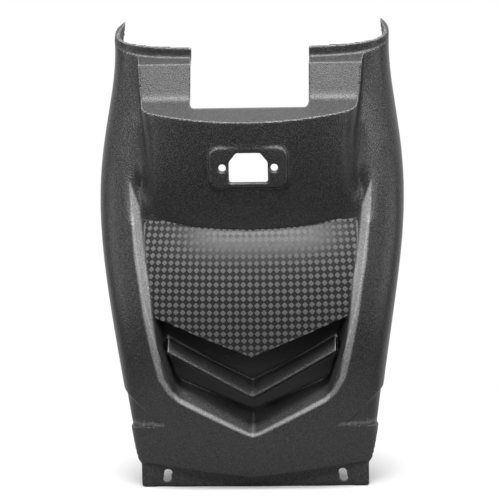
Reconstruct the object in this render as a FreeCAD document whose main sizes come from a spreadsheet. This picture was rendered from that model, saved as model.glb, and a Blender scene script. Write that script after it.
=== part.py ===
import FreeCAD, Part
import math
import os
import Sketcher

# Front panel under a scooter seat, with the opening for the charging socket: one plastic moulding.
# X is to the right, Y is away from the rider's feet, Z is up. The origin lies on the back of the
# bottom flange, midway between its two fixing slots. All sizes are in millimetres.
doc = FreeCAD.newDocument("charging_port_cover")
Vector = FreeCAD.Vector

# Driving sizes. Depths are positions along Y, so a smaller depth is nearer to the viewer.
sheet = doc.addObject("Spreadsheet::Sheet", "Sizes")
SIZES = (
    ("wall", 2.5, "wall thickness of the moulding"),
    # The skin runs through seven level sections, each from its front to its crest and its side.
    ("foot_height", -14, "level of the foot section"),
    ("foot_front", -8, "depth of the skin at the middle of the foot section"),
    ("foot_crest_half", 69, "half width between the crests of the foot section"),
    ("foot_crest", -5, "depth of those crests"),
    ("foot_half", 89.5, "half width of the foot section"),
    ("foot_side", 3, "depth where the foot section is widest"),
    ("hip_height", 65, "level of the hip section"),
    ("hip_front", -27, "depth of the skin at the middle of the hip section"),
    ("hip_crest_half", 74.5, "half width between the crests of the hip section"),
    ("hip_crest", -20, "depth of those crests"),
    ("hip_half", 100.5, "half width of the hip section"),
    ("hip_side", 3, "depth where the hip section is widest"),
    ("waist_height", 127, "level of the waist section"),
    ("waist_front", -30, "depth of the skin at the middle of the waist section"),
    ("waist_crest_half", 81, "half width between the crests of the waist section"),
    ("waist_crest", -22, "depth of those crests"),
    ("waist_half", 109.5, "half width of the waist section"),
    ("waist_side", 4, "depth where the waist section is widest"),
    ("chest_height", 195, "level of the chest section"),
    ("chest_front", -14, "depth of the skin at the middle of the chest section"),
    ("chest_crest_half", 90, "half width between the crests of the chest section"),
    ("chest_crest", -2, "depth of those crests"),
    ("chest_half", 118, "half width of the chest section"),
    ("chest_side", 22, "depth where the chest section is widest"),
    ("shoulder_height", 245, "level of the shoulder section"),
    ("shoulder_front", 8, "depth of the skin at the middle of the shoulder section"),
    ("shoulder_crest_half", 89.5, "half width between the crests of the shoulder section"),
    ("shoulder_crest", 15, "depth of those crests"),
    ("shoulder_half", 117.8, "half width of the shoulder section"),
    ("shoulder_side", 40, "depth where the shoulder section is widest"),
    ("neck_height", 300, "level of the neck section"),
    ("neck_front", 36, "depth of the skin at the middle of the neck section"),
    ("neck_crest_half", 86, "half width between the crests of the neck section"),
    ("neck_crest", 40, "depth of those crests"),
    ("neck_half", 110.5, "half width of the neck section"),
    ("neck_side", 64, "depth where the neck section is widest"),
    ("rim_height", 356, "level of the rim section"),
    ("rim_front", 37, "depth of the skin at the middle of the rim section"),
    ("rim_crest_half", 86, "half width between the crests of the rim section"),
    ("rim_crest", 41, "depth of those crests"),
    ("rim_half", 110.3, "half width of the rim section"),
    ("rim_side", 66, "depth where the rim section is widest"),
    ("side_return", 40, "length of the sides behind their widest point"),
    ("side_tuck", 3, "how far the lower sides turn in over that length"),
    ("horn_curl", 14, "how far the horns turn in over that length"),
    # The side view trims the rear edge and the rim.
    ("rear_foot_height", 12, "height up to which the rear edge is at the flange"),
    ("rear_waist", 27, "depth of the rear edge at the waist"),
    ("horn_tip", 90, "depth of the tips of the horns"),
    ("horn_height", 349, "height of those tips"),
    ("rim_lip_height", 331, "height of the rim beside the notch"),
    ("rim_bend", 42, "depth where the rim starts to rise"),
    ("lip_height", 322.5, "height where the set-back lip starts"),
    ("lip_slope", 0.62, "rise of the lip's foot per millimetre towards the rear"),
    ("set_back", 1.6, "how far the lip and the corner facets are set back"),
    # The triangular facets at the lower corners.
    ("facet_tip", 69.5, "distance of the inner tip of a facet from the middle"),
    ("facet_height", 42, "height of that tip"),
    ("facet_rise", 0.91, "rise of a facet's upper edge per millimetre of width"),
    ("facet_fall", 0.08, "fall of a facet's lower edge per millimetre of width"),
    # The recess in the front, its patterned bulge and its vent.
    ("recess_depth", 15, "depth of the recess behind the crests"),
    ("recess_end", -4, "that depth at the shoulder, where the recess has run out"),
    ("recess_splay", 0.9, "widening of the recess per millimetre of depth"),
    ("recess_knee", 59, "distance of the lower corners of the recess from the middle"),
    ("recess_corner", 13, "radius of those corners"),
    ("recess_knee_slope", 3.2, "rise of the recess's lower edge beyond those corners"),
    ("recess_tip_height", 34.5, "height of the lowest point of the recess's lower edge"),
    ("recess_tip", -20, "depth of that point"),
    ("recess_sill_slope", 1.05, "rise of the recess's sill per millimetre of depth"),
    ("vee_slope", 0.56, "rise of the sill and the fin per millimetre of width"),
    ("vee_radius", 2, "radius of the points of the sill and the fin"),
    ("bulge_front", -26, "depth of the crown of the bulge"),
    ("bulge_height", 120, "height of the crown of the bulge"),
    ("bulge_profile_radius", 160, "radius of the bulge in the side view"),
    ("bulge_plan_radius", 300, "radius of the bulge in the plan view"),
    ("bulge_tip_height", 98.5, "height of the lowest point of the bulge"),
    ("bulge_vee_slope", 0.403, "rise of the bulge's lower edge per millimetre of width"),
    ("bulge_tip_radius", 6, "radius of the point of the bulge's lower edge"),
    ("bulge_draft", 0.08, "rise of the bulge's underside per millimetre of depth"),
    ("fin_front", -19, "depth of the edge of the fin"),
    ("fin_back", -2, "depth of the buried root of the fin"),
    ("fin_edge_height", 65, "height of the underside of the fin's edge at its point"),
    ("fin_edge", 2, "thickness of the fin at its edge"),
    ("fin_slope", 0.95, "rise of the fin's top per millimetre of depth"),
    ("fin_drop", 2.5, "how far the fin's underside falls over its depth"),
    ("fin_half", 65, "half width of the fin"),
    ("fin_core", 6, "setback of the hollow behind the fin's edge"),
    # The nose that carries the socket, with the step above it.
    ("nose_foot_height", 190, "height of the buried foot of the nose"),
    ("nose_foot", -5, "depth of the nose at its foot"),
    ("nose_seat_height", 232, "height of the steepest part of the nose"),
    ("nose_seat", -14.5, "depth of the nose there"),
    ("nose_brow_height", 280, "height of the brow of the nose"),
    ("nose_brow", -17, "depth of the brow"),
    ("nose_foot_half", 100, "half width of the nose at its buried foot"),
    ("nose_half", 83, "half width of the nose above its foot"),
    ("nose_draft", 3, "how much wider each side of the nose is at its rear"),
    ("nose_plan_radius", 180, "radius of the nose in the plan view"),
    ("nose_foot_corner", 5, "radius of the corners of the nose at its foot"),
    ("nose_corner", 16, "radius of those corners above its foot"),
    ("nose_rear", 52, "depth of the buried rear of the nose"),
    ("shelf_slope", 0.35, "rise of the shelf per millimetre of depth"),
    ("shelf_rear", 21.6, "depth where the shelf meets the wall behind it"),
    ("step_height", 320.5, "height of the upper edge of that wall"),
    ("step_rear", 33, "depth of that edge"),
    ("shelf_fillet", 14, "radius between the shelf and the wall"),
    # The notch for the seat's hinge or lock.
    ("notch_half", 46, "half width of the notch"),
    ("notch_height", 288, "height of the bottom of the notch"),
    ("notch_corner", 3.5, "radius of its lower corners"),
    # The seat of the charging socket.
    ("socket_height", 245, "height of the middle of the socket"),
    ("seat_width", 60, "width of the seat of the socket"),
    ("seat_tall", 30.5, "height of that seat"),
    ("seat_corner", 6, "radius of its corners"),
    ("seat_proud", 2.4, "how far its face stands before the nose"),
    ("seat_thickness", 6, "thickness of the seat"),
    ("opening_width", 30, "width of the opening for the socket"),
    ("opening_tall", 22.5, "height of that opening"),
    ("opening_cut_width", 5.7, "width of its two upper corner cuts"),
    ("opening_cut_tall", 7, "height of those cuts"),
    ("opening_corner", 1, "radius of its lower corners"),
    ("screw_spacing", 40, "distance between the socket's two screw holes"),
    ("screw_hole", 6, "diameter of those holes"),
    # The lower end.
    ("skirt_slope", 0.123, "rise of the skirt's lower edge per millimetre of width"),
    ("flange_half", 89.2, "half width of the bottom flange"),
    ("flange_low", -9, "height of the lower edge of the flange"),
    ("flange_high", 12, "height of the upper edge of the flange"),
    ("slot_spacing", 138, "distance between the two fixing slots"),
    ("slot_width", 5.5, "width of a fixing slot"),
    ("slot_tall", 9.5, "height of a fixing slot"),
    ("slot_lean", 0.17, "lean of a slot towards the middle per millimetre of height"),
    ("slot_corner", 1.2, "radius of the corners of a slot"),
    ("flange_corner", 2, "radius of the lower corners of the flange"),
    ("slot_pad_width", 14, "width of the shallow pad around a slot"),
    ("slot_pad_depth", 0.7, "depth of that pad"),
)
for row, (alias, value, meaning) in enumerate(SIZES, start=1):
    sheet.set(f"A{row}", meaning)
    sheet.set(f"B{row}", str(value))
    sheet.setAlias(f"B{row}", alias)
doc.recompute()

# How far the cutting solids run past the moulding, and how far a form runs on inside its neighbour.
CLEAR = 150
BURIED = 50


class Size:
    """A length as it is now, together with the expression that drives it."""

    def __init__(self, value, text):
        self.value = value
        self.text = text

    def join(self, other, sign, result):
        return Size(result, f"({self.text} {sign} {as_size(other).text})")

    def __add__(self, other):
        return self.join(other, "+", self.value + as_size(other).value)

    def __sub__(self, other):
        return self.join(other, "-", self.value - as_size(other).value)

    def __mul__(self, other):
        return self.join(other, "*", self.value * as_size(other).value)

    def __truediv__(self, other):
        return self.join(other, "/", self.value / as_size(other).value)

    def __neg__(self):
        return Size(-self.value, f"(-1 * {self.text})")

    def root(self):
        return Size(math.sqrt(self.value), f"sqrt({self.text})")


def as_size(number):
    return number if isinstance(number, Size) else Size(number, str(number))


def number(alias):
    return float(sheet.get(alias))


def size(alias):
    return Size(number(alias), f"Sizes.{alias}")


ZERO = as_size(0)
WALL = size("wall")


def sagitta(radius, half_chord):
    """How far an arc falls back over half of its chord."""
    return radius - (radius * radius - half_chord * half_chord).root()


def arc_between(start, end, radius):
    """The short arc that turns left on its way from start to end."""
    chord = end - start
    left = Vector(-chord.y, chord.x, 0).normalize()
    rise = math.sqrt(radius * radius - chord.Length * chord.Length / 4)
    circle = Part.Circle((start + end) * 0.5 + left * rise, Vector(0, 0, 1), radius)
    return Part.ArcOfCircle(circle, circle.parameter(start), circle.parameter(end))


def outline(body, name, plane, corners, offset=ZERO, rounds={}, arcs={}):
    """A closed sketch through corners, each (x, y), with every size bound to the sheet.

    rounds gives the radius of each rounded corner by its number, and arcs the radius of each edge
    that is an arc, by the number of the corner where it starts.
    """
    sketch = body.newObject("Sketcher::SketchObject", name)
    support = [feature for feature in body.Origin.OriginFeatures if feature.Role == plane][0]
    sketch.AttachmentSupport = (support, [""])
    sketch.MapMode = "FlatFace"
    sketch.setExpression("AttachmentOffset.Base.z", offset.text)
    ties = {}

    def tie(label, length, *constraint):
        limit = Sketcher.Constraint(*constraint, length.value)
        limit.Name = label
        sketch.addConstraint(limit)
        ties[label] = length.text

    points = [Vector(x.value, y.value, 0) for x, y in corners]
    count = len(points)
    for index, start in enumerate(points):
        end = points[(index + 1) % count]
        edge = Part.LineSegment(start, end)
        if index in arcs:
            edge = arc_between(start, end, arcs[index].value)
        sketch.addGeometry(edge, False)
    for index, (x, y) in enumerate(corners):
        sketch.addConstraint(Sketcher.Constraint("Coincident", (index - 1) % count, 2, index, 1))
        tie(f"across_{index}", x, "DistanceX", -1, 1, index, 1)
        tie(f"along_{index}", y, "DistanceY", -1, 1, index, 1)
    for index, radius in arcs.items():
        tie(f"bow_{index}", radius, "Radius", index)
    for index, radius in rounds.items():
        sketch.fillet(index, 1, radius.value, True, True)
        bends = [n for n in range(count, sketch.GeometryCount) if hasattr(sketch.Geometry[n], "Radius")]
        tie(f"round_{index}", radius, "Radius", bends[-1])
    for label, expression in ties.items():
        sketch.setExpression(f"Constraints.{label}", expression)
    return sketch


def new_body(name):
    return doc.addObject("PartDesign::Body", name)


def pad(body, sketch, name, length, both_sides=False, backwards=False):
    feature = body.newObject("PartDesign::Pad", name)
    feature.Profile = sketch
    feature.SideType = "Symmetric" if both_sides else "One side"
    feature.Reversed = backwards
    feature.setExpression("Length", as_size(length).text)
    return feature


def pocket(body, sketch, name, length, both_sides=False, backwards=False):
    feature = body.newObject("PartDesign::Pocket", name)
    feature.Profile = sketch
    feature.SideType = "Symmetric" if both_sides else "One side"
    feature.Reversed = backwards
    feature.setExpression("Length", as_size(length).text)
    return feature


def loft(body, sketches, name, ruled):
    feature = body.newObject("PartDesign::AdditiveLoft", name)
    feature.Profile = sketches[0]
    feature.Sections = sketches[1:]
    feature.Ruled = ruled
    return feature


def cut(name, base, tool):
    feature = doc.addObject("Part::Cut", name)
    feature.Base = base
    feature.Tool = tool
    return feature


def fuse(name, *shapes):
    feature = doc.addObject("Part::MultiFuse", name)
    feature.Shapes = list(shapes)
    return feature


def common(name, *shapes):
    feature = doc.addObject("Part::MultiCommon", name)
    feature.Shapes = list(shapes)
    return feature


# The skin: a smooth loft through level sections.
LEVELS = ("foot", "hip", "waist", "chest", "shoulder", "neck", "rim")
HORN_LEVELS = ("neck", "rim")


def smooth_edge(points, start_course, end_course):
    """A smooth edge through points that starts and ends along the two courses."""
    curve = Part.BSplineCurve()
    curve.interpolate(Points=points, InitialTangent=start_course, FinalTangent=end_course)
    return curve.toShape()


def skin_section(level, inset):
    """A level section of the skin, moved inwards by inset and closed across the open rear."""
    tuck = number("horn_curl") if level in HORN_LEVELS else number("side_tuck")
    height = number(f"{level}_height")
    front = Vector(0, number(f"{level}_front"), height)
    crest = Vector(number(f"{level}_crest_half"), number(f"{level}_crest"), height)
    side = Vector(number(f"{level}_half"), number(f"{level}_side"), height)
    rear = side + Vector(-tuck, number("side_return"), 0)
    courses = [(side - front).normalize(), Vector(0, 1, 0), (rear - side).normalize()]
    right = []
    for point, course in zip((crest, side, rear), courses):
        right.append(point + Vector(-course.y, course.x, 0) * inset)
    left = [Vector(-point.x, point.y, height) for point in right]
    back = [Vector(course.x, -course.y, 0) for course in courses]
    front = front + Vector(0, inset, 0)
    edges = [
        smooth_edge([left[2], left[1]], back[2], back[1]),
        smooth_edge([left[1], left[0]], back[1], back[0]),
        smooth_edge([left[0], front, right[0]], back[0], courses[0]),
        smooth_edge([right[0], right[1]], courses[0], courses[1]),
        smooth_edge([right[1], right[2]], courses[1], courses[2]),
        Part.LineSegment(right[2], left[2]).toShape(),
    ]
    return Part.Wire(edges)


def skin(name, inset):
    feature = doc.addObject("Part::Feature", name)
    feature.Shape = Part.makeLoft([skin_section(level, inset) for level in LEVELS], True, False)
    return feature


# The recess: a smooth loft through level sections that widen towards the viewer.
RECESS_LEVELS = ("foot", "hip", "waist", "chest", "shoulder")


def recess_section(level, grow):
    crest_half, crest = number(f"{level}_crest_half"), number(f"{level}_crest")
    splay = number("recess_splay")
    spread = grow * math.hypot(1, splay)
    front = crest - CLEAR
    depth = number("recess_end" if level == RECESS_LEVELS[-1] else "recess_depth")
    back = crest + depth + grow
    front_half = crest_half + CLEAR * splay + spread
    back_half = crest_half - (back - crest) * splay + spread
    height = number(f"{level}_height")
    corners = [(-front_half, front), (front_half, front), (back_half, back), (-back_half, back)]
    points = [Vector(x, y, height) for x, y in corners]
    return Part.makePolygon(points + points[:1])


def recess_sides(name, grow):
    feature = doc.addObject("Part::Feature", name)
    feature.Shape = Part.makeLoft([recess_section(level, grow) for level in RECESS_LEVELS], True, False)
    return feature


def above_vee(name, tip_height, tip_depth, rise, slope, radius):
    """All that lies above a V-shaped edge, which rises by rise per millimetre of depth."""
    body = new_body(name)
    half, top = as_size(CLEAR), as_size(3 * CLEAR)
    sections = []
    for place, depth in (("front", tip_depth - CLEAR), ("rear", tip_depth + CLEAR)):
        tip = tip_height + (depth - tip_depth) * rise
        side = tip + half * slope
        corners = [(ZERO, tip), (half, side), (half, top), (-half, top), (-half, side)]
        sketch = outline(body, f"{name}_{place}", "XZ_Plane", corners, -depth, {0: radius})
        sections.append(sketch)
    loft(body, sections, f"{name}_loft", True)
    return body


# Degrees of the barrel that are made, and how far the bulge runs into the sides of the recess.
BULGE_SPREAD = 60
BULGE_ROOT = 3


def above_sill(name, inset):
    """All that lies above the V-shaped sill of the recess, with its rounded lower corners."""
    body = new_body(name)
    half, top = as_size(CLEAR), as_size(3 * CLEAR)
    knee, slope, rise = size("recess_knee") + inset, size("vee_slope"), size("recess_sill_slope")
    drop = inset * math.hypot(1, number("recess_sill_slope"))
    rounds = {0: size("vee_radius"), 1: size("recess_corner"), 6: size("recess_corner")}
    sections = []
    for place, way in (("front", -CLEAR), ("rear", CLEAR)):
        tip = size("recess_tip_height") - drop + rise * way
        bend = tip + knee * slope
        side = bend + (half - knee) * size("recess_knee_slope")
        corners = [
            (ZERO, tip), (knee, bend), (half, side), (half, top), (-half, top), (-half, side), (-knee, bend),
        ]
        depth = size("recess_tip") + way
        sections.append(outline(body, f"{name}_{place}", "XZ_Plane", corners, -depth, rounds))
    loft(body, sections, f"{name}_loft", True)
    return body


def bulge(name, inset):
    """The patterned bulge as a barrel: an arc turned about an upright axis behind it."""
    body = new_body(name)
    axis = size("bulge_front") + size("bulge_plan_radius")
    body.setExpression("Placement.Base.y", axis.text)
    radius = size("bulge_profile_radius") - inset
    crown = inset - size("bulge_plan_radius")
    low = size("bulge_tip_height") - BURIED
    high = size("nose_foot_height") + BURIED / 2
    low_depth = crown + sagitta(radius, size("bulge_height") - low)
    high_depth = crown + sagitta(radius, high - size("bulge_height"))
    rear = crown + BURIED
    corners = [(low_depth, low), (rear, low), (rear, high), (high_depth, high)]
    sketch = outline(body, f"{name}_profile", "YZ_Plane", corners, arcs={3: radius})
    turn = body.newObject("PartDesign::Revolution", f"{name}_turn")
    turn.Profile = sketch
    turn.ReferenceAxis = (sketch, ["V_Axis"])
    turn.Midplane = True
    turn.Angle = BULGE_SPREAD
    return body


def nose(name, inset):
    """The nose with its rounded corners and the step, a shelf and a wall, above its brow.

    It widens towards its foot, where it becomes the upper floor of the recess.
    """
    body = new_body(name)
    radius = size("nose_plan_radius") - inset
    rear = size("nose_rear")
    foot_shape = size("nose_foot_half") - inset, size("nose_foot_corner") - inset
    shape = size("nose_half") - inset, size("nose_corner") - inset
    places = (
        ("foot", size("nose_foot_height"), size("nose_foot"), foot_shape),
        ("seat", size("nose_seat_height"), size("nose_seat"), shape),
        ("brow", size("nose_brow_height"), size("nose_brow"), shape),
        ("top", size("rim_height"), size("nose_brow"), shape),
    )
    sections = []
    for place, height, depth, (half, corner) in places:
        swell = radius / (radius - corner)
        wide = half + size("nose_draft")
        touch = (half - corner) * swell
        # The corner's center lies this far before the center of the front arc, which it touches inside.
        lead = ((radius - corner) * (radius - corner) - (half - corner) * (half - corner)).root()
        center = depth + inset + radius
        side, front = center - lead, center - lead * swell
        corners = [(half, side), (wide, rear), (-wide, rear), (-half, side), (-touch, front), (touch, front)]
        arcs = {3: corner, 4: radius, 5: corner}
        sketch = outline(body, f"{name}_{place}", "XY_Plane", corners, height, arcs=arcs)
        sections.append(sketch)
    loft(body, sections, f"{name}_loft", False)

    # A slanted wall keeps its thickness if the step moves by this share of it along each axis.
    diagonal = 0.8
    shift = inset * diagonal
    shelf_rear = size("shelf_rear") + shift
    brow_run = size("shelf_rear") - size("nose_brow")
    shelf_height = size("nose_brow_height") + brow_run * size("shelf_slope") - shift
    step_rear = size("step_rear") + shift
    step_height = size("step_height") - shift
    reach = size("shelf_slope") * CLEAR
    top = as_size(3 * CLEAR)
    corners = [
        (shelf_rear - CLEAR, shelf_height - reach),
        (shelf_rear, shelf_height),
        (step_rear, step_height),
        (step_rear + CLEAR, step_height + reach),
        (step_rear + CLEAR, top),
        (shelf_rear - CLEAR, top),
    ]
    rounds = {1: size("shelf_fillet") + inset}
    sketch = outline(body, f"{name}_step_profile", "YZ_Plane", corners, rounds=rounds)
    pocket(body, sketch, f"{name}_step", 2 * CLEAR, both_sides=True)
    return body


def fin(name, inset, setback):
    """The V-shaped fin in the vent: a wedge with a sloping top, between two chevrons."""
    body = new_body(name)
    run = size("fin_back") - size("fin_front")
    half = size("fin_half") - inset
    rise = half * size("vee_slope")
    radius = size("vee_radius")
    slant = math.hypot(1, number("fin_slope"))
    sections = []
    for place, depth in (("edge", size("fin_front") + setback), ("root", size("fin_back") + inset)):
        way = depth - size("fin_front")
        under = size("fin_edge_height") - size("fin_drop") * way / run + inset
        top = size("fin_edge_height") + size("fin_edge") + way * size("fin_slope") - inset * slant
        corners = [
            (ZERO, under),
            (half, under + rise),
            (half, top + rise),
            (ZERO, top),
            (-half, top + rise),
            (-half, under + rise),
        ]
        sketch = outline(body, f"{name}_{place}", "XZ_Plane", corners, -depth, {0: radius, 3: radius})
        sections.append(sketch)
    loft(body, sections, f"{name}_loft", True)
    return body


def lip_band(name, inset):
    """The space of the set-back lip along the rim."""
    body = new_body(name)
    bend, low = size("rim_bend"), size("lip_height") - inset
    high = as_size(4 * CLEAR)
    corners = [
        (bend - CLEAR, low),
        (bend, low),
        (bend + CLEAR, low + size("lip_slope") * CLEAR),
        (bend + CLEAR, high),
        (bend - CLEAR, high),
    ]
    pad(body, outline(body, f"{name}_profile", "YZ_Plane", corners), f"{name}_pad", 2 * CLEAR, True)
    return body


def facets(label, inset):
    """The spaces of the two set-back facets: triangles that widen towards the sides."""
    tip, height = size("facet_tip") - inset, size("facet_height")
    run = as_size(CLEAR) - size("facet_tip")
    low = height - run * size("facet_fall") - inset
    high = height + run * size("facet_rise") + inset
    bodies = []
    for word, side in (("left", -1), ("right", 1)):
        body = new_body(f"{label}_{word}_facet")
        reach = as_size(CLEAR * side)
        corners = [(tip * side, height), (reach, low), (reach, high)][::side]
        sketch = outline(body, f"{label}_{word}_facet_outline", "XZ_Plane", corners)
        pad(body, sketch, f"{label}_{word}_facet_pad", 2 * CLEAR, True)
        bodies.append(body)
    return bodies


def solid_front(label, inset, fin_setback):
    """The moulding's front as a full solid, moved inwards by inset all over."""
    body_skin = skin(f"{label}_skin", inset.value)
    inner_skin = skin(f"{label}_set_back_skin", (size("set_back") + inset).value)
    places = fuse(f"{label}_set_back_places", lip_band(f"{label}_lip", inset), *facets(label, inset))
    stepped = cut(f"{label}_stepped_skin", body_skin, cut(f"{label}_set_back", places, inner_skin))

    sides = recess_sides(f"{label}_recess_sides", inset.value)
    recess = common(f"{label}_recess", sides, above_sill(f"{label}_sill", inset))
    under = above_vee(
        f"{label}_bulge_under", size("bulge_tip_height") + inset, size("bulge_front"),
        size("bulge_draft"), size("bulge_vee_slope"), size("bulge_tip_radius") + inset,
    )
    beside = recess_sides(f"{label}_bulge_sides", inset.value + BULGE_ROOT)
    barrel = common(f"{label}_barrel", bulge(f"{label}_bulge", inset), under, beside)
    carved = cut(f"{label}_carved", stepped, recess)
    blade = fin(f"{label}_fin", inset, fin_setback)
    whole = fuse(f"{label}_whole", carved, barrel, blade, nose(f"{label}_nose", inset))
    floor = above_vee(
        f"{label}_floor", ZERO + inset, ZERO, ZERO, size("skirt_slope"), size("vee_radius"),
    )
    return common(f"{label}_front", whole, floor)


outer = solid_front("outer", ZERO, ZERO)
inner = solid_front("inner", WALL, size("fin_core"))
doc.recompute()
shell = cut("shell", outer, inner)

# The side view, which trims the rear edge, the horns and the rim.
side_view = new_body("side_view")
rim_middle = size("rim_lip_height") + (size("horn_height") - size("rim_lip_height")) / 2
corners = [
    (as_size(-CLEAR), as_size(-CLEAR)),
    (ZERO, as_size(-CLEAR)),
    (ZERO, size("rear_foot_height")),
    (size("rear_waist"), size("waist_height")),
    (size("horn_tip"), size("horn_height")),
    (size("neck_side"), rim_middle),
    (size("rim_bend"), size("rim_lip_height")),
    (as_size(-CLEAR), size("rim_lip_height")),
]
pad(side_view, outline(side_view, "side_profile", "YZ_Plane", corners), "side_pad", 2 * CLEAR, True)
trimmed = common("trimmed", shell, side_view)

# The flange along the bottom, with two leaning slots in shallow pads.
flange = new_body("flange")
half, low, high = size("flange_half"), size("flange_low"), size("flange_high")
corners = [(-half, low), (half, low), (half, high), (-half, high)]
rounds = {0: size("flange_corner"), 1: size("flange_corner")}
pad(flange, outline(flange, "flange_outline", "XZ_Plane", corners, rounds=rounds), "flange_pad", WALL)


def leaning(name, side, width, top, bottom, offset=ZERO, rounds={}):
    """An upright strip on the flange that leans towards the middle, on the side +1 or -1."""
    middle = size("slot_spacing") / 2
    corners = []
    for edge, height in ((-1, bottom), (1, bottom), (1, top), (-1, top)):
        across = middle - height * size("slot_lean") + width / 2 * edge
        corners.append((across * side, height))
    return outline(flange, name, "XZ_Plane", corners if side > 0 else corners[::-1], offset, rounds)


slot_rounds = dict.fromkeys(range(4), size("slot_corner"))
slot_top = size("slot_tall") / 2
for word, side in (("left", -1), ("right", 1)):
    sunk = leaning(f"{word}_pad", side, size("slot_pad_width"), high, low, WALL)
    pocket(flange, sunk, f"{word}_pad_cut", size("slot_pad_depth"))
    hole = leaning(f"{word}_slot", side, size("slot_width"), slot_top, -slot_top, WALL, slot_rounds)
    pocket(flange, hole, f"{word}_slot_cut", WALL)

# The seat of the charging socket: a flat block whose face stands before the nose.
seat = new_body("seat")
seat_face = size("nose_seat") - size("seat_proud")
half, tall = size("seat_width") / 2, size("seat_tall") / 2
middle = size("socket_height")
corners = [(-half, middle - tall), (half, middle - tall), (half, middle + tall), (-half, middle + tall)]
rounds = dict.fromkeys(range(4), size("seat_corner"))
sketch = outline(seat, "seat_outline", "XZ_Plane", corners, -seat_face, rounds)
pad(seat, sketch, "seat_pad", size("seat_thickness"), backwards=True)

# What is cut out of the finished wall: the socket's opening, its two screw holes and the notch.
opening = new_body("opening")
half, tall = size("opening_width") / 2, size("opening_tall") / 2
slant_half, slant_height = half - size("opening_cut_width"), middle + tall - size("opening_cut_tall")
corners = [
    (-half, middle - tall),
    (half, middle - tall),
    (half, slant_height),
    (slant_half, middle + tall),
    (-slant_half, middle + tall),
    (-half, slant_height),
]
rounds = dict.fromkeys(range(2), size("opening_corner"))
sketch = outline(opening, "opening_outline", "XZ_Plane", corners, -seat_face, rounds)
pad(opening, sketch, "opening_pad", CLEAR / 2, both_sides=True)

screws = []
for word, side in (("left", -1), ("right", 1)):
    screw = doc.addObject("Part::Cylinder", f"{word}_screw_hole")
    screw.setExpression("Radius", (size("screw_hole") / 2).text)
    screw.setExpression("Height", as_size(CLEAR / 2).text)
    screw.Placement = FreeCAD.Placement(Vector(), FreeCAD.Rotation(Vector(1, 0, 0), 90))
    screw.setExpression("Placement.Base.x", (size("screw_spacing") / 2 * side).text)
    screw.setExpression("Placement.Base.y", (seat_face + CLEAR / 4).text)
    screw.setExpression("Placement.Base.z", middle.text)
    screws.append(screw)

notch = new_body("notch")
half, low, top = size("notch_half"), size("notch_height"), as_size(3 * CLEAR)
corners = [(-half, low), (half, low), (half, top), (-half, top)]
rounds = dict.fromkeys(range(2), size("notch_corner"))
pad(notch, outline(notch, "notch_outline", "XZ_Plane", corners, rounds=rounds), "notch_pad", 2 * CLEAR, True)

raw = fuse("raw", trimmed, seat, flange)
part = cut("moulding", raw, fuse("openings", opening, notch, *screws))
part.Refine = True
part.Label = "charging_port_cover"
doc.recompute()

for thing in doc.Objects:
    if "Invalid" in thing.State or "Error" in thing.State:
        raise RuntimeError(f"{thing.Name} failed: {thing.State}")
if part.Shape.isNull() or not part.Shape.isValid() or len(part.Shape.Solids) != 1:
    raise RuntimeError("the moulding is not one valid solid")
os.makedirs("parts", exist_ok=True)
part.Shape.exportStep(f"parts/{part.Label}.step")
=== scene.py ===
import math

import bmesh
import bpy
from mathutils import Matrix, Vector


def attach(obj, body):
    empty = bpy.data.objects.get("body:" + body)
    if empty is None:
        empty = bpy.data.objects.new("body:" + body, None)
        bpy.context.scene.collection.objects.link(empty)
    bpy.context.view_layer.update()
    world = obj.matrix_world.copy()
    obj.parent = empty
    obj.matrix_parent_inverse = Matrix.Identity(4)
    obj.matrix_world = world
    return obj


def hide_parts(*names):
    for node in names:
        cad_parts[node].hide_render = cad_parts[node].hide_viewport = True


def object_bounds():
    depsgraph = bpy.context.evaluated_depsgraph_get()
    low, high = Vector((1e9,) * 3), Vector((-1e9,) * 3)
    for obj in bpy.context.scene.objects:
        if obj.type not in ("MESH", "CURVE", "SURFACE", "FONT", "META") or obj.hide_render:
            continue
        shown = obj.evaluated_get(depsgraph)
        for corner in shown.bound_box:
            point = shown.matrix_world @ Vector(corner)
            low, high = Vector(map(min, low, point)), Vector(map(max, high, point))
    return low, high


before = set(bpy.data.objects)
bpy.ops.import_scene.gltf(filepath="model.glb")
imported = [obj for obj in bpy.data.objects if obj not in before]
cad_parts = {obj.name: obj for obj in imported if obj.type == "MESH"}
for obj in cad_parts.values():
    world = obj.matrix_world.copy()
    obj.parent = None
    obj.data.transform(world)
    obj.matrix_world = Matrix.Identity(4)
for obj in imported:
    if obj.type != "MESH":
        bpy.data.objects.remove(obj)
cad_low, cad_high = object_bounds()

# The moulding: one injection-moulded panel of black polypropylene, about 2.5 mm thick.
# Its tool has no sharp edges and is spark-eroded, so the corners are soft and the skin has a
# fine pebbled grain. Only the face of the bulge is polished.
mesh_pitch, softening_factor, softening_rounds = 0.001, 0.5, 3
share_kept = 0.33

merged = bmesh.new()
merged.from_mesh(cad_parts["charging_port_cover"].data)
bmesh.ops.remove_doubles(merged, verts=merged.verts, dist=1e-6)
blank_mesh = bpy.data.meshes.new("moulding_blank")
merged.to_mesh(blank_mesh)
merged.free()
blank = bpy.data.objects.new("moulding_blank", blank_mesh)
bpy.context.scene.collection.objects.link(blank)
even = blank.modifiers.new("even_mesh", "REMESH")
even.mode = "VOXEL"
even.voxel_size = mesh_pitch
soften = blank.modifiers.new("soft_corners", "SMOOTH")
soften.factor = softening_factor
soften.iterations = softening_rounds
depsgraph = bpy.context.evaluated_depsgraph_get()
even_mesh = bpy.data.meshes.new_from_object(blank.evaluated_get(depsgraph))

# Beside the nose the skin flows into the flared sides. It is smoothed most in the middle of this patch.
flow_inner, flow_outer = 0.07, 0.101
flow_bottom, flow_top = 0.2, 0.276
flow_margins, flow_rounds, flow_factor = (0, 0.003, 0.006), 50, 0.5

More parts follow.
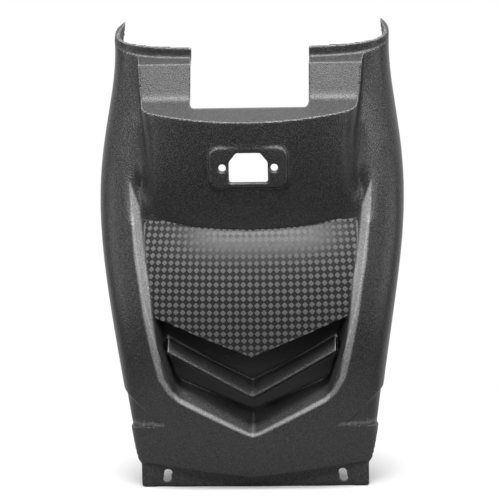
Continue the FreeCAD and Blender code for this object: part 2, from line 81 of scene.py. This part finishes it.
flow = bmesh.new()
flow.from_mesh(even_mesh)
for margin in flow_margins:
    beside_nose = []
    for vertex in flow.verts:
        across = flow_inner + margin < abs(vertex.co.x) < flow_outer - margin
        upward = flow_bottom + margin < vertex.co.z < flow_top - margin
        if across and upward:
            beside_nose.append(vertex)
    for turn in range(flow_rounds):
        bmesh.ops.smooth_vert(
            flow, verts=beside_nose, factor=flow_factor,
            use_axis_x=True, use_axis_y=True, use_axis_z=True,
        )
flow.to_mesh(even_mesh)
flow.free()

# Painted highlight on the recess's rim: a light grey slanted strip on each side that narrows to a line
# along the sill.
# Each row gives the distance from the middle, the height and half the width of the rim.
painted_rim_highlight = (
    (0.0939, 0.2305, 0.0003),
    (0.0899, 0.2115, 0.0034),
    (0.0860, 0.1730, 0.0036),
    (0.0830, 0.1570, 0.0038),
    (0.0800, 0.1310, 0.0030),
    (0.0747, 0.1020, 0.0025),
    (0.0700, 0.0820, 0.0022),
    (0.0640, 0.0715, 0.0018),
    (0.0569, 0.0645, 0.0013),
    (0.0100, 0.0399, 0.0010),
    (0.0040, 0.0369, 0.0010),
    (0.0000, 0.0360, 0.0010),
)
rim_highlight_fade, fine_margin = 0.0014, 0.006
recess_bottom, recess_top, recess_half, recess_back = 0.03, 0.235, 0.1, 0.02


def clamp(value):
    return min(max(value, 0), 1)


def rim_highlight_cover(x, z):
    """How far a point lies inside the painted highlight on the rim."""
    best = -1
    for (x1, z1, half1), (x2, z2, half2) in zip(painted_rim_highlight, painted_rim_highlight[1:]):
        run, rise = x2 - x1, z2 - z1
        share = clamp(((abs(x) - x1) * run + (z - z1) * rise) / (run**2 + rise**2))
        away = math.hypot(abs(x) - x1 - share * run, z - z1 - share * rise)
        best = max(best, half1 + share * (half2 - half1) - away)
    return best


def about_recess(vertex, forward):
    """Whether a vertex is on the skin around the recess and its normal points forward by that much."""
    x, y, z = vertex.co
    in_reach = recess_bottom < z < recess_top and abs(x) < recess_half and y < recess_back
    return in_reach and vertex.normal.y < -forward


# The mesh stays fine along the painted rim highlight and is thinned out elsewhere.
elsewhere = []
for vertex in even_mesh.vertices:
    if not about_recess(vertex, 0) or rim_highlight_cover(vertex.co.x, vertex.co.z) < -fine_margin:
        elsewhere.append(vertex.index)
blank.modifiers.clear()
blank.data = even_mesh
blank.vertex_groups.new(name="elsewhere").add(elsewhere, 1, "REPLACE")
thin_out = blank.modifiers.new("thin_out", "DECIMATE")
thin_out.ratio = share_kept
thin_out.vertex_group = "elsewhere"
thin_out.use_collapse_triangulate = True
depsgraph = bpy.context.evaluated_depsgraph_get()
moulding_mesh = bpy.data.meshes.new_from_object(blank.evaluated_get(depsgraph))
moulding_mesh.name = "moulded_panel"
bpy.data.objects.remove(blank)
moulding_mesh.shade_smooth()
moulding = bpy.data.objects.new("moulded_panel", moulding_mesh)
bpy.context.scene.collection.objects.link(moulding)
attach(moulding, "root")
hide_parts("charging_port_cover")

# The bulge is part of a barrel, round in the plan and in the side view, and its face is polished.
bulge_front, bulge_middle = -0.026, 0.120
bulge_plan_radius, bulge_side_radius = 0.300, 0.160
bulge_tip, bulge_vee_slope = 0.0985, 0.403
bulge_top, bulge_reach = 0.22, 0.09
crease_middle, crease_curve = 0.2005, 1.52
strip_half, strip_height, strip_lean = 0.0758, 0.134, 0.13
polish_depth, polish_fade = 0.0012, 0.001


def bulge_depth(x, z):
    drop = bulge_side_radius - math.sqrt(bulge_side_radius**2 - (z - bulge_middle) ** 2)
    radius = bulge_plan_radius - drop
    return bulge_front + bulge_plan_radius - math.sqrt(radius**2 - x**2)


def crease_height(x):
    """Height of the crease between the bulge and the nose."""
    return crease_middle + crease_curve * x**2


def inside_bulge(x, z):
    """How far a point lies inside the outline of the bulge's face."""
    above_vee = z - bulge_tip - bulge_vee_slope * abs(x)
    below_crease = crease_height(x) - z
    between_strips = strip_half + strip_lean * (z - strip_height) - abs(x)
    return min(above_vee, below_crease, between_strips)


polish = moulding_mesh.attributes.new("polish", "FLOAT", "POINT")
for vertex, spot in zip(moulding_mesh.vertices, polish.data):
    x, y, z = vertex.co
    on_bulge = bulge_tip < z < bulge_top and abs(x) < bulge_reach
    if on_bulge and abs(y - bulge_depth(x, z)) < polish_depth:
        spot.value = clamp(inside_bulge(x, z) / polish_fade)

# The small ledge under each lower corner gets the rim's painted highlight, at half its strength.
ledge_height, ledge_half_height = 0.0437, 0.0012
ledge_inner, ledge_outer, ledge_highlight_share = 0.066, 0.095, 0.5
rim_highlight_facing = 0.2

rim_highlight_mask = moulding_mesh.attributes.new("painted_rim_highlight", "FLOAT", "POINT")
for vertex, spot in zip(moulding_mesh.vertices, rim_highlight_mask.data):
    x, y, z = vertex.co
    if about_recess(vertex, rim_highlight_facing):
        spot.value = clamp(rim_highlight_cover(x, z) / rim_highlight_fade + 0.5)
        if ledge_inner < abs(x) < ledge_outer and abs(z - ledge_height) < ledge_half_height:
            spot.value = ledge_highlight_share

# Painted shade: the plastic is darkened inside the vent, from its front edge inwards.
sill_tip, sill_slope = 0.036, 0.56
vent_half, vent_overlap = 0.076, 0.006
vent_edge, vent_fade = -0.0155, 0.004

vent_shade = moulding_mesh.attributes.new("vent_shade", "FLOAT", "POINT")
for vertex, spot in zip(moulding_mesh.vertices, vent_shade.data):
    x, y, z = vertex.co
    sill = sill_tip + sill_slope * abs(x)
    ceiling = bulge_tip + vent_overlap + bulge_vee_slope * abs(x)
    if abs(x) < vent_half and sill < z < ceiling:
        spot.value = clamp((y - vent_edge) / vent_fade)

# Painted highlight: outer corners that face up are made light grey, except on the sill and along the
# folds in its middle.
# The bend grows as a corner gets sharper.
edge_highlight_start, edge_highlight_span, edge_highlight_upward, edge_highlight_facing = 120, 150, 3, 0.1
fold_half, fold_top = 0.004, 0.2
fin_edge, fin_edge_half = 0.065, 0.002
sill_half, sill_zone_bottom, sill_zone_slope, sill_zone_top = 0.07, 0.03, 0.5, 0.058

edge_highlight = moulding_mesh.attributes.new("edge_highlight", "FLOAT", "POINT")
corners = bmesh.new()
corners.from_mesh(moulding_mesh)
for vertex, spot in zip(corners.verts, edge_highlight.data):
    bend = 0
    for edge in vertex.link_edges:
        way = edge.other_vert(vertex).co - vertex.co
        bend -= way.dot(vertex.normal) / way.length_squared / len(vertex.link_edges)
    x, y, z = vertex.co
    on_fold = abs(x) < fold_half and z < fold_top and abs(z - fin_edge) > fin_edge_half
    zone_bottom = sill_zone_bottom + sill_zone_slope * abs(x)
    zone_top = sill_zone_top + sill_slope * abs(x)
    on_sill = abs(x) < sill_half and zone_bottom < z < zone_top
    if vertex.normal.y < -edge_highlight_facing and not on_fold and not on_sill:
        spot.value = clamp((bend - edge_highlight_start) / edge_highlight_span) * clamp(vertex.normal.z * edge_highlight_upward)
corners.free()

grain = bpy.data.node_groups.new("moulded_grain", "ShaderNodeTree")
grain.interface.new_socket("Scale", in_out="INPUT", socket_type="NodeSocketFloat")
grain.interface.new_socket("Depth", in_out="INPUT", socket_type="NodeSocketFloat")
grain.interface.new_socket("Normal", in_out="OUTPUT", socket_type="NodeSocketVector")
grain.interface.new_socket("Speckle", in_out="OUTPUT", socket_type="NodeSocketFloat")
grain.interface.new_socket("Cloud", in_out="OUTPUT", socket_type="NodeSocketFloat")
nodes, links = grain.nodes, grain.links
asked, given = nodes.new("NodeGroupInput"), nodes.new("NodeGroupOutput")
place = nodes.new("ShaderNodeTexCoord")
pebbles = nodes.new("ShaderNodeTexVoronoi")
pebbles.feature = "SMOOTH_F1"
pebbles.inputs["Smoothness"].default_value = 0.5
links.new(place.outputs["Object"], pebbles.inputs["Vector"])
links.new(asked.outputs["Scale"], pebbles.inputs["Scale"])
pitting = nodes.new("ShaderNodeTexNoise")
pitting.inputs["Detail"].default_value = 3
links.new(place.outputs["Object"], pitting.inputs["Vector"])
links.new(asked.outputs["Scale"], pitting.inputs["Scale"])
relief = nodes.new("ShaderNodeMath")
relief.operation = "ADD"
links.new(pebbles.outputs["Distance"], relief.inputs[0])
links.new(pitting.outputs["Fac"], relief.inputs[1])
bump = nodes.new("ShaderNodeBump")
bump.inputs["Distance"].default_value = 0.0003
links.new(asked.outputs["Depth"], bump.inputs["Strength"])
links.new(relief.outputs["Value"], bump.inputs["Height"])
links.new(bump.outputs["Normal"], given.inputs["Normal"])
speckle = nodes.new("ShaderNodeMapRange")
speckle.inputs["From Min"].default_value = 0.4
speckle.inputs["From Max"].default_value = 0.75
links.new(pitting.outputs["Fac"], speckle.inputs["Value"])
links.new(speckle.outputs["Result"], given.inputs["Speckle"])
cloud = nodes.new("ShaderNodeTexNoise")
cloud.inputs["Scale"].default_value = 45
cloud.inputs["Detail"].default_value = 5
links.new(place.outputs["Object"], cloud.inputs["Vector"])
links.new(cloud.outputs["Fac"], given.inputs["Cloud"])


def new_finish(name):
    """A new material, its node tree and its shader."""
    finish = bpy.data.materials.new(name)
    finish.use_nodes = True
    return finish, finish.node_tree, finish.node_tree.nodes["Principled BSDF"]


def read_mask(tree, name):
    """The value of one of the mesh's attributes."""
    mask = tree.nodes.new("ShaderNodeAttribute")
    mask.attribute_name = name
    return mask.outputs["Fac"]


def spread(tree, share, low, high):
    """A value from low to high, for a share from 0 to 1."""
    span = tree.nodes.new("ShaderNodeMapRange")
    span.inputs["To Min"].default_value = low
    span.inputs["To Max"].default_value = high
    tree.links.new(share, span.inputs["Value"])
    return span.outputs["Result"]


def blend(tree, share, first, second):
    """A colour between two others, each written out or taken from another node."""
    mix = tree.nodes.new("ShaderNodeMix")
    mix.data_type = "RGBA"
    tree.links.new(share, mix.inputs[0])
    for colour, socket in ((first, mix.inputs[6]), (second, mix.inputs[7])):
        if isinstance(colour, tuple):
            socket.default_value = colour
        else:
            tree.links.new(colour, socket)
    return mix.outputs[2]


grain_dark, grain_light = (0.014, 0.014, 0.015, 1), (0.07, 0.069, 0.068, 1)
polished_black, vent_shade_black = (0.028, 0.028, 0.029, 1), (0.002, 0.002, 0.002, 1)
rim_highlight_dark, rim_highlight_light = (0.18, 0.18, 0.18, 1), (0.4, 0.4, 0.4, 1)
edge_highlight_grey = (0.26, 0.26, 0.26, 1)
skin_scale, skin_depth, polished_depth = 1000, 0.5, 0.08
skin_smoothest, skin_roughest, polished_roughness = 0.33, 0.42, 0.27

moulding_black, tree, shader = new_finish("moulding_black")
shader.inputs["Specular IOR Level"].default_value = 0.5
skin_grain = tree.nodes.new("ShaderNodeGroup")
skin_grain.node_tree = grain
skin_grain.inputs["Scale"].default_value = skin_scale
polished = read_mask(tree, "polish")
tree.links.new(spread(tree, polished, skin_depth, polished_depth), skin_grain.inputs["Depth"])
tree.links.new(skin_grain.outputs["Normal"], shader.inputs["Normal"])
roughness = tree.nodes.new("ShaderNodeMix")
roughness.inputs[3].default_value = polished_roughness
tree.links.new(polished, roughness.inputs[0])
sheen = spread(tree, skin_grain.outputs["Cloud"], skin_smoothest, skin_roughest)
tree.links.new(sheen, roughness.inputs[2])
tree.links.new(roughness.outputs[0], shader.inputs["Roughness"])
tint = blend(tree, skin_grain.outputs["Speckle"], grain_dark, grain_light)
tint = blend(tree, polished, tint, polished_black)
# Painted shade inside the vent.
tint = blend(tree, read_mask(tree, "vent_shade"), tint, vent_shade_black)
# Painted highlight: the recess's rim and the corner ledges are made light grey.
rim_highlight_tint = blend(tree, skin_grain.outputs["Speckle"], rim_highlight_dark, rim_highlight_light)
tint = blend(tree, read_mask(tree, "painted_rim_highlight"), tint, rim_highlight_tint)
# Painted highlight on the outer corners that face up.
tint = blend(tree, read_mask(tree, "edge_highlight"), tint, edge_highlight_grey)
tree.links.new(tint, shader.inputs["Base Color"])
moulding_mesh.materials.clear()
moulding_mesh.materials.append(moulding_black)

# The diamonds: a pattern in the same plastic, raised 0.3 mm from the polished bulge.
# The tool is etched there, so each diamond is dull and looks paler than the gloss around it.
# Those at the edge of the bulge are cut off along it.
diamond_pitch, diamond_row, diamond_half = 0.0053, 0.00545, 0.00255
diamond_raise, diamond_draft, diamond_buried, diamond_round = 0.0003, 0.00025, 0.0002, 0.0006
diamond_rows, diamonds_each_side = 24, 19
edge_overlap, vee_gap, smallest_share = 0.001, 0.0004, 0.25
# The pattern's side edge, with the bulge unrolled: a point on it and how far it leans.
side_around, side_along, side_lean = 0.0763, 0.014, 0.21


def wrap(around, along, out):
    """A point of the flat pattern, laid onto the bulge and moved out from it."""
    turn = along / bulge_side_radius
    radius = bulge_plan_radius - bulge_side_radius * (1 - math.cos(turn)) + out
    angle = around / bulge_plan_radius
    return Vector((
        radius * math.sin(angle),
        bulge_front + bulge_plan_radius - radius * math.cos(angle),
        bulge_middle + bulge_side_radius * math.sin(turn),
    ))


lowest = bulge_side_radius * math.asin((bulge_tip - bulge_middle) / bulge_side_radius)
diamonds = bmesh.new()
for row in range(diamond_rows):
    for column in range(-diamonds_each_side, diamonds_each_side + 1):
        around, along = column * diamond_pitch, lowest + diamond_half + row * diamond_row
        middle = wrap(around, along, 0)
        top = wrap(around, along + diamond_half, 0)
        if inside_bulge(middle.x, middle.z) > -edge_overlap and crease_height(top.x) > top.z:
            ring = bmesh.ops.create_circle(diamonds, cap_ends=True, segments=4, radius=diamond_half)
            bmesh.ops.translate(diamonds, verts=ring["verts"], vec=(around, along, -diamond_buried))
bmesh.ops.bevel(
    diamonds, geom=diamonds.verts[:], offset=diamond_round,
    affect="VERTICES", segments=2, profile=0.5, material=-1,
)
for side in (-1, 1):
    for edge_point, edge_normal in (
        ((0, lowest + vee_gap, 0), (side * bulge_vee_slope, -1, 0)),
        ((side * side_around, side_along, 0), (side, -side_lean, 0)),
    ):
        everything = diamonds.verts[:] + diamonds.edges[:] + diamonds.faces[:]
        bmesh.ops.bisect_plane(
            diamonds, geom=everything, plane_co=edge_point, plane_no=edge_normal, clear_outer=True
        )
smallest_area = smallest_share * diamond_half**2
slivers = [face for face in diamonds.faces if face.calc_area() < smallest_area]
bmesh.ops.delete(diamonds, geom=slivers, context="FACES")
bmesh.ops.inset_individual(
    diamonds, faces=diamonds.faces[:], thickness=diamond_draft, depth=diamond_raise + diamond_buried
)
for vertex in diamonds.verts:
    vertex.co = wrap(*vertex.co)
bmesh.ops.recalc_face_normals(diamonds, faces=diamonds.faces)
diamond_mesh = bpy.data.meshes.new("bulge_diamonds")
diamonds.to_mesh(diamond_mesh)
diamonds.free()
bulge_diamonds = bpy.data.objects.new("bulge_diamonds", diamond_mesh)
bpy.context.scene.collection.objects.link(bulge_diamonds)
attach(bulge_diamonds, "root")

etched_dark, etched_light = (0.1, 0.1, 0.1, 1), (0.15, 0.15, 0.15, 1)
etched_scale, etched_depth = 2200, 0.4
etched_smoothest, etched_roughest = 0.5, 0.6

etched_grey, tree, shader = new_finish("etched_grey")
shader.inputs["Specular IOR Level"].default_value = 0.5
etching = tree.nodes.new("ShaderNodeGroup")
etching.node_tree = grain
etching.inputs["Scale"].default_value = etched_scale
etching.inputs["Depth"].default_value = etched_depth
tree.links.new(etching.outputs["Normal"], shader.inputs["Normal"])
dullness = spread(tree, etching.outputs["Cloud"], etched_smoothest, etched_roughest)
tree.links.new(dullness, shader.inputs["Roughness"])
chalk = blend(tree, etching.outputs["Speckle"], etched_dark, etched_light)
tree.links.new(chalk, shader.inputs["Base Color"])
diamond_mesh.materials.append(etched_grey)

# The floor: a plain sheet of white paper under the panel, only there to catch its shadow.
# It is small and throws little light back, so the panel's underside stays dark as in a dim room.
floor_half = 0.24
paper_dark, paper_light = (0.88, 0.88, 0.88, 1), (0.92, 0.92, 0.92, 1)
paper_bounce, paper_mirrored = (0.2, 0.2, 0.2, 1), (0.42, 0.42, 0.42, 1)
fibre_scale = 400


def either(tree, first, second):
    """The larger of two values."""
    larger = tree.nodes.new("ShaderNodeMath")
    larger.operation = "MAXIMUM"
    tree.links.new(first, larger.inputs[0])
    tree.links.new(second, larger.inputs[1])
    return larger.outputs["Value"]


sheet = bmesh.new()
bmesh.ops.create_grid(sheet, x_segments=1, y_segments=1, size=floor_half)
floor_mesh = bpy.data.meshes.new("floor")
sheet.to_mesh(floor_mesh)
sheet.free()
floor = bpy.data.objects.new("floor", floor_mesh)
floor.location.z = cad_low.z
bpy.context.scene.collection.objects.link(floor)
paper, tree, shader = new_finish("paper_white")
shader.inputs["Roughness"].default_value = 0.9
shader.inputs["Specular IOR Level"].default_value = 0
place = tree.nodes.new("ShaderNodeTexCoord")
fibres = tree.nodes.new("ShaderNodeTexNoise")
fibres.inputs["Scale"].default_value = fibre_scale
fibres.inputs["Detail"].default_value = 4
tree.links.new(place.outputs["Object"], fibres.inputs["Vector"])
paper_tint = blend(tree, fibres.outputs["Fac"], paper_dark, paper_light)
ray = tree.nodes.new("ShaderNodeLightPath")
looked_at = either(tree, ray.outputs["Is Camera Ray"], ray.outputs["Is Transmission Ray"])
unseen_tint = blend(tree, ray.outputs["Is Glossy Ray"], paper_bounce, paper_mirrored)
tree.links.new(blend(tree, looked_at, unseen_tint, paper_tint), shader.inputs["Base Color"])
floor_mesh.materials.append(paper)

# The light: a large soft box over the panel, one as wide in front of it, and a narrow one on each side.
for name, spot, aim, width, depth, power in (
    ("overhead", (0, -0.16, 1.42), (0, 0, 0.15), 1.1, 0.6, 27),
    ("front", (0, -1.04, 1.23), (0, 0, 0.15), 1.1, 0.4, 15),
    ("left_edge", (-1.15, -0.5, 0.4), (0, 0, 0.2), 0.3, 0.7, 3.2),
    ("right_edge", (1.15, -0.5, 0.4), (0, 0, 0.2), 0.3, 0.7, 3.2),
):
    lamp = bpy.data.lights.new(name, "AREA")
    lamp.shape = "RECTANGLE"
    lamp.size, lamp.size_y, lamp.energy = width, depth, power
    holder = bpy.data.objects.new(name, lamp)
    holder.location = spot
    holder.rotation_euler = (Vector(aim) - Vector(spot)).to_track_quat("-Z", "Y").to_euler()
    bpy.context.scene.collection.objects.link(holder)

# The surroundings: a dim room, plain white wherever the camera looks past the panel.
# The panel's gloss shows that white only where it mirrors what is behind the panel.
room_grey, backdrop_white = (0.07, 0.07, 0.07, 1), (1, 1, 1, 1)
backdrop_start, backdrop_full = 0.1, 0.4

world = bpy.data.worlds.new("studio")
world.use_nodes = True
bpy.context.scene.world = world
tree = world.node_tree
room = tree.nodes["Background"]
room.inputs["Color"].default_value = room_grey
white = tree.nodes.new("ShaderNodeBackground")
white.inputs["Color"].default_value = backdrop_white
ray = tree.nodes.new("ShaderNodeLightPath")
direction = tree.nodes.new("ShaderNodeTexCoord")
parts = tree.nodes.new("ShaderNodeSeparateXYZ")
tree.links.new(direction.outputs["Generated"], parts.inputs["Vector"])
backdrop = tree.nodes.new("ShaderNodeMapRange")
backdrop.inputs["From Min"].default_value = backdrop_start
backdrop.inputs["From Max"].default_value = backdrop_full
tree.links.new(parts.outputs["Y"], backdrop.inputs["Value"])
mirrored = tree.nodes.new("ShaderNodeMath")
mirrored.operation = "MULTIPLY"
tree.links.new(ray.outputs["Is Glossy Ray"], mirrored.inputs[0])
tree.links.new(backdrop.outputs["Result"], mirrored.inputs[1])
looked_at = either(tree, ray.outputs["Is Camera Ray"], ray.outputs["Is Transmission Ray"])
choice = tree.nodes.new("ShaderNodeMixShader")
tree.links.new(either(tree, looked_at, mirrored.outputs["Value"]), choice.inputs["Fac"])
tree.links.new(room.outputs["Background"], choice.inputs[1])
tree.links.new(white.outputs["Background"], choice.inputs[2])
tree.links.new(choice.outputs["Shader"], tree.nodes["World Output"].inputs["Surface"])

# The camera: a little above the panel and to its right, with a slight roll.
target, distance = Vector((-0.0018, 0.02, 0.1753)), 2.2
azimuth, elevation, roll = math.radians(3.2), math.radians(9.5), math.radians(-1.172)
sensor_width, focal_pixels, picture_pixels = 36, 2814.4, 500

camera_data = bpy.data.cameras.new("camera")
camera = bpy.data.objects.new("camera", camera_data)
bpy.context.scene.collection.objects.link(camera)
bpy.context.scene.camera = camera
camera_data.sensor_width = sensor_width
camera_data.lens = sensor_width * focal_pixels / picture_pixels
way = Vector((
    math.sin(azimuth) * math.cos(elevation),
    -math.cos(azimuth) * math.cos(elevation),
    math.sin(elevation),
))
camera.location = target + way * distance
camera.rotation_euler = (-way).to_track_quat("-Z", "Y").to_euler()
camera.rotation_euler.rotate_axis("Z", roll)

bpy.context.scene.view_settings.view_transform = "Standard"
